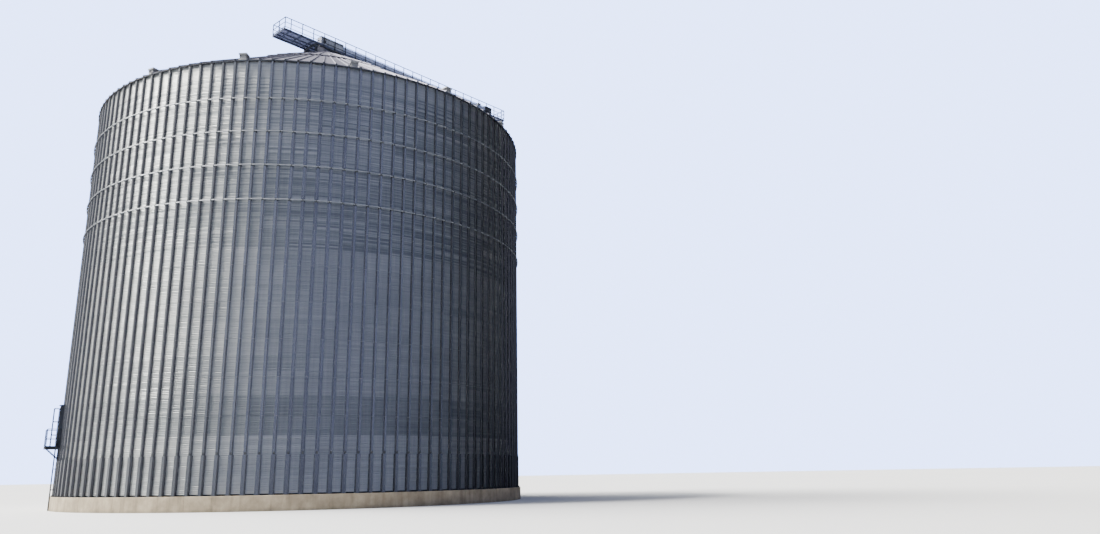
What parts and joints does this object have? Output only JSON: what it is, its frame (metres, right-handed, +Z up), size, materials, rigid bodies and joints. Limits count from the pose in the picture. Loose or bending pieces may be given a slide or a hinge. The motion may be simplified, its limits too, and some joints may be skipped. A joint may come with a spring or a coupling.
{
  "type": "grain silo",
  "caption": "Round corrugated steel grain silo with a stiffened wall, wind rings, conical roof with vents, roof gallery with conveyor, and a side platform with ladder.",
  "frame": {"origin": "On the silo's axis at ground level, the middle of the face that the silo stands on.", "axes": "+Z up, +X along the roof gallery towards its long end, +Y across the gallery."},
  "size_m": [37.7245, 32.6502, 38.44],
  "materials": {
    "concrete": "weathered cast concrete",
    "wall_sheet": "weathered galvanised sheet",
    "roof_sheet": "dull galvanised sheet",
    "galvanised_steel": "galvanised",
    "dark_steel": "dark weathered steel",
    "conveyor_steel": "blue-grey weathered steel"
  },
  "bodies": {
    "root": {"foundation_ring": "concrete", "floor_slab": "concrete", "wall_sector_1": "wall_sheet", "wall_sector_2": "wall_sheet", "wall_sector_3": "wall_sheet", "wall_sector_4": "wall_sheet", "wall_sector_5": "wall_sheet", "wall_sector_6": "wall_sheet", "wall_sector_7": "wall_sheet", "wall_sector_8": "wall_sheet", "roof_sector_1": "roof_sheet", "roof_sector_2": "roof_sheet", "roof_sector_3": "roof_sheet", "roof_sector_4": "roof_sheet", "roof_sector_5": "roof_sheet", "roof_sector_6": "roof_sheet", "roof_sector_7": "roof_sheet", "roof_sector_8": "roof_sheet", "roof_cap": "roof_sheet", "wind_ring_1": "galvanised_steel", "wind_ring_2": "galvanised_steel", "wind_ring_3": "galvanised_steel", "wind_ring_4": "galvanised_steel", "gallery_railing_near": "galvanised_steel", "gallery_railing_far": "galvanised_steel", "gallery_railing_start": "galvanised_steel", "gallery_railing_end": "galvanised_steel", "conveyor_inlet": "galvanised_steel", "conveyor_spout": "galvanised_steel", "platform_railing": "galvanised_steel", "access_ladder": "galvanised_steel", "base_ring": "dark_steel", "eave_ring": "dark_steel", "gallery_floor": "dark_steel", "conveyor_tail_box": "dark_steel", "peak_frame": "dark_steel", "roof_trestle": "dark_steel", "eave_trestle": "dark_steel", "knee_brace_near": "dark_steel", "knee_brace_far": "dark_steel", "platform_deck": "dark_steel", "platform_guard_frame": "dark_steel", "wall_door": "dark_steel", "conveyor_drive_box": "conveyor_steel", "conveyor_trough": "conveyor_steel"}
  },
  "joints": []
}
